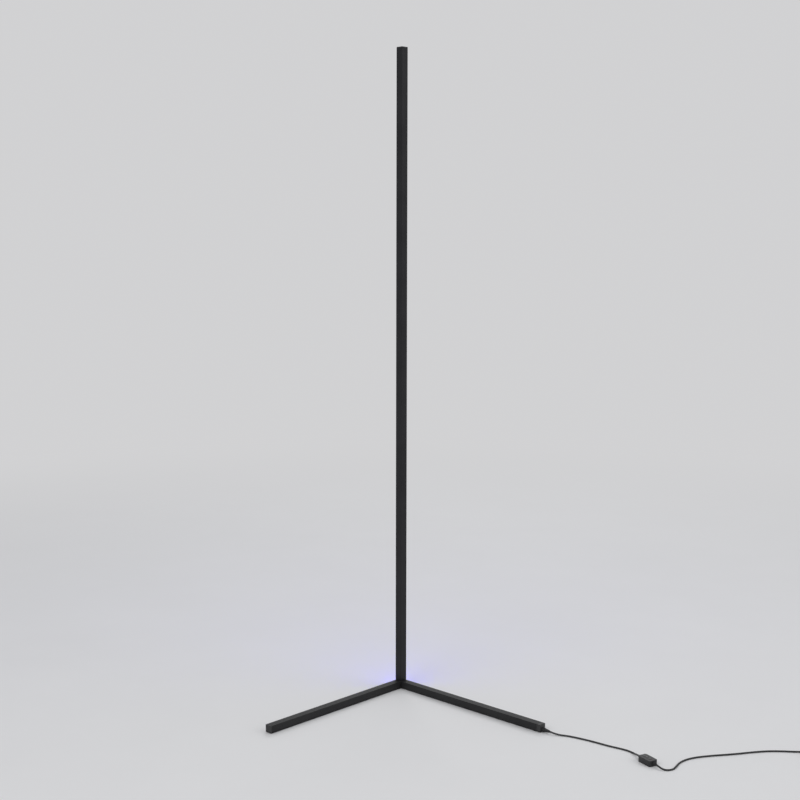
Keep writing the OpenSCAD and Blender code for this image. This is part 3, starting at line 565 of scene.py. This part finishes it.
LOOKS = {
    "black_anodised": anodised(),
    "black_powder_coat": powder_coat(),
    "milky_diffuser": diffuser_milk(),
    "strip_white": plain_plastic(
        "strip_white", (0.80, 0.80, 0.77), (0.88, 0.87, 0.84), 0.45),
    "chip_yellow": plain_plastic(
        "chip_yellow", (0.82, 0.68, 0.22), (0.90, 0.80, 0.40), 0.30, 1600),
    "plain_steel": steel("plain_steel", (0.55, 0.56, 0.58), 0.26),
    "connector_white": plain_plastic(
        "connector_white", (0.80, 0.79, 0.75), (0.88, 0.87, 0.83), 0.42),
    "dark_steel": steel("dark_steel", (0.055, 0.055, 0.06), 0.34),
    "black_nylon": moulding(
        "black_nylon", (0.014, 0.014, 0.015), (0.075, 0.074, 0.074), 1700, 0.46),
    "foot_rubber": rubber("foot_rubber", (0.018, 0.018, 0.018), (0.10, 0.098, 0.095)),
    "lead_black": sheath(),
    "boot_black": rubber("boot_black", (0.014, 0.014, 0.0145), (0.07, 0.069, 0.068)),
    "controller_black": moulding(
        "controller_black", (0.015, 0.015, 0.0165), (0.085, 0.084, 0.084), 2300, 0.42),
    "circuit_board": board_green(),
    "chip_black": plain_plastic(
        "chip_black", (0.018, 0.018, 0.02), (0.032, 0.032, 0.034), 0.40, 2600),
    "window_red": window_red(),
    "button_grey": moulding(
        "button_grey", (0.11, 0.11, 0.115), (0.22, 0.22, 0.225), 2600, 0.48, 0.3),
    "tie_black": plain_plastic(
        "tie_black", (0.022, 0.022, 0.023), (0.04, 0.04, 0.042), 0.42, 2000),
    "adapter_black": moulding(
        "adapter_black", (0.015, 0.015, 0.016), (0.08, 0.079, 0.079), 1500, 0.44),
    "pin_nickel": nickel(),
    "transformer_yellow": winding(),
    "capacitor_blue": plain_plastic(
        "capacitor_blue", (0.02, 0.04, 0.16), (0.035, 0.06, 0.22), 0.28, 1200),
}


def wear(piece, slot):
    """Gives a piece the finish of its slot."""
    piece.data.materials.clear()
    piece.data.materials.append(LOOKS[slot])


# ================= the lamp =================

stand_camera()

lamp_lead = lead("lamp_lead_line", LAMP_ROUTE)
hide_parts("lamp_lead")
supply_line = lead("supply_lead_line", SUPPLY_ROUTE + coil_route(), steps=5)
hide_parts("supply_lead", "lead_coil")
inner_lead = lead("inner_lead_line", inner_route())
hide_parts("internal_lead")

# How wide the rounding of each piece's edges is, in millimetres.
EASED = {
    "mast_profile_lower": 0.2, "mast_profile_middle": 0.2, "mast_profile_upper": 0.2,
    "diffuser_lower": 0.15, "diffuser_middle": 0.15, "diffuser_upper": 0.15,
    "top_cap": 0.45, "corner_block": 0.45, "leg_tube_left": 0.35, "leg_tube_right": 0.35,
    "end_cap_left": 0.5, "end_cap_right": 0.5,
    "foot_pad_corner": 0.2, "foot_pad_left": 0.2, "foot_pad_right": 0.2,
    "controller_base": 0.35, "controller_cover": 0.35,
    "power_button": 0.2, "mode_button": 0.2, "colour_button": 0.2, "receiver_window": 0.12,
    "adapter_base": 0.6, "adapter_cover": 0.6, "coil_tie": 0.12,
    "exit_boot": 0.12, "controller_inlet_boot": 0.1, "controller_outlet_boot": 0.1,
    "adapter_boot": 0.12,
}
# Round pieces, whose rims are short edges all the way.
ROUND = ("power_button", "mode_button", "colour_button", "receiver_window",
         "exit_boot", "controller_inlet_boot", "controller_outlet_boot", "adapter_boot")
WINDOW_MERGE = 0.03  # mm; the window's dome stands on a lip that is finer than this
finished = {
    node: eased(node, width, 0 if node in ROUND else LONG_EDGE,
                WINDOW_MERGE if node == "receiver_window" else MERGE)
    for node, width in EASED.items()}

for node, piece in finished.items():
    wear(piece, slot_of[node])
for node, piece in cad.items():
    wear(piece, slot_of[node])
for piece in (lamp_lead, supply_line, inner_lead):
    wear(piece, "lead_black")

controller = [finished[node] for node in (
    "controller_base", "controller_cover", "power_button", "mode_button", "colour_button",
    "receiver_window", "controller_inlet_boot", "controller_outlet_boot")]
controller += [cad[node] for node in (
    "controller_board", "controller_switches", "controller_parts")]
adapter = [finished[node] for node in (
    "adapter_base", "adapter_cover", "adapter_boot", "coil_tie")]
adapter += [cad[node] for node in (
    "plug_pins", "adapter_board", "adapter_transformer", "adapter_capacitor")]


# ================= floor, lamps and backdrop, in metres =================

PALE = (0.64, 0.64, 0.65)  # the backdrop as the camera sees it
FLOOR_RADIUS = 60
FLOOR_ENDS = (0.9, 3.6)  # where the floor starts to turn into the backdrop, and where it has
LIT_POINT = (0.1, -0.15, 0.6)  # what the lamps are turned to
FILL_COLOUR = (0.97, 0.98, 1.0)
FILL_STRENGTH = 0.45


def lay_floor():
    """Pale floor that runs out into the pale backdrop."""
    bpy.ops.mesh.primitive_circle_add(vertices=96, radius=FLOOR_RADIUS, fill_type="NGON",
                                      location=(0, 0, 0))
    floor = bpy.context.active_object
    floor.name = "floor"
    f = Finish("floor_pale", Roughness=0.62, Specular_IOR_Level=0.25)
    mottle = f.noise(3.0, 4.0, 0.6)
    f.put(Base_Color=f.blend(mottle, (0.80, 0.80, 0.81), (0.84, 0.84, 0.85)))
    distance = f.node("ShaderNodeVectorMath", {"operation": "LENGTH"}, {0: f.place}, out="Value")
    glow = f.node("ShaderNodeEmission", None, {"Color": (*PALE, 1), "Strength": 1.0})
    shown = f.node("ShaderNodeMixShader", None, {
        0: distance.clamp(*FLOOR_ENDS), 1: Wire(f, f.shader.outputs[0]), 2: glow})
    f.tree.links.new(shown.socket, f.tree.nodes["Material Output"].inputs["Surface"])
    floor.data.materials.append(f.material)


def hang_lamp(name, place, size, power):
    light = bpy.data.lights.new(name, "AREA")
    light.shape = "RECTANGLE"
    light.size, light.size_y = size
    light.energy = power
    lamp = bpy.data.objects.new(name, light)
    bpy.context.scene.collection.objects.link(lamp)
    lamp.location = place
    lamp.rotation_mode = "QUATERNION"
    lamp.rotation_quaternion = (Vector(LIT_POINT) - Vector(place)).to_track_quat("-Z", "Y")


def light_studio():
    """Three soft lamps and an even fill, with the backdrop's colour for the camera alone."""
    world = bpy.data.worlds.new("studio")
    bpy.context.scene.world = world
    world.use_nodes = True
    tree = world.node_tree
    tree.nodes.clear()
    path = tree.nodes.new("ShaderNodeLightPath")
    seen = tree.nodes.new("ShaderNodeBackground")
    seen.inputs["Color"].default_value = (*PALE, 1)
    fill = tree.nodes.new("ShaderNodeBackground")
    fill.inputs["Color"].default_value = (*FILL_COLOUR, 1)
    fill.inputs["Strength"].default_value = FILL_STRENGTH
    direct = tree.nodes.new("ShaderNodeMixShader")
    end = tree.nodes.new("ShaderNodeOutputWorld")
    tree.links.new(path.outputs["Is Camera Ray"], direct.inputs[0])
    tree.links.new(fill.outputs[0], direct.inputs[1])
    tree.links.new(seen.outputs[0], direct.inputs[2])
    tree.links.new(direct.outputs[0], end.inputs[0])
    hang_lamp("key", (-2.2, -2.8, 3.4), (2.4, 2.4), 62)
    hang_lamp("side", (3.0, -1.2, 2.2), (1.8, 2.4), 24)
    hang_lamp("behind", (0.6, 3.2, 2.8), (2.6, 1.6), 30)


lay_floor()
light_studio()
bpy.context.scene.view_settings.view_transform = "Standard"
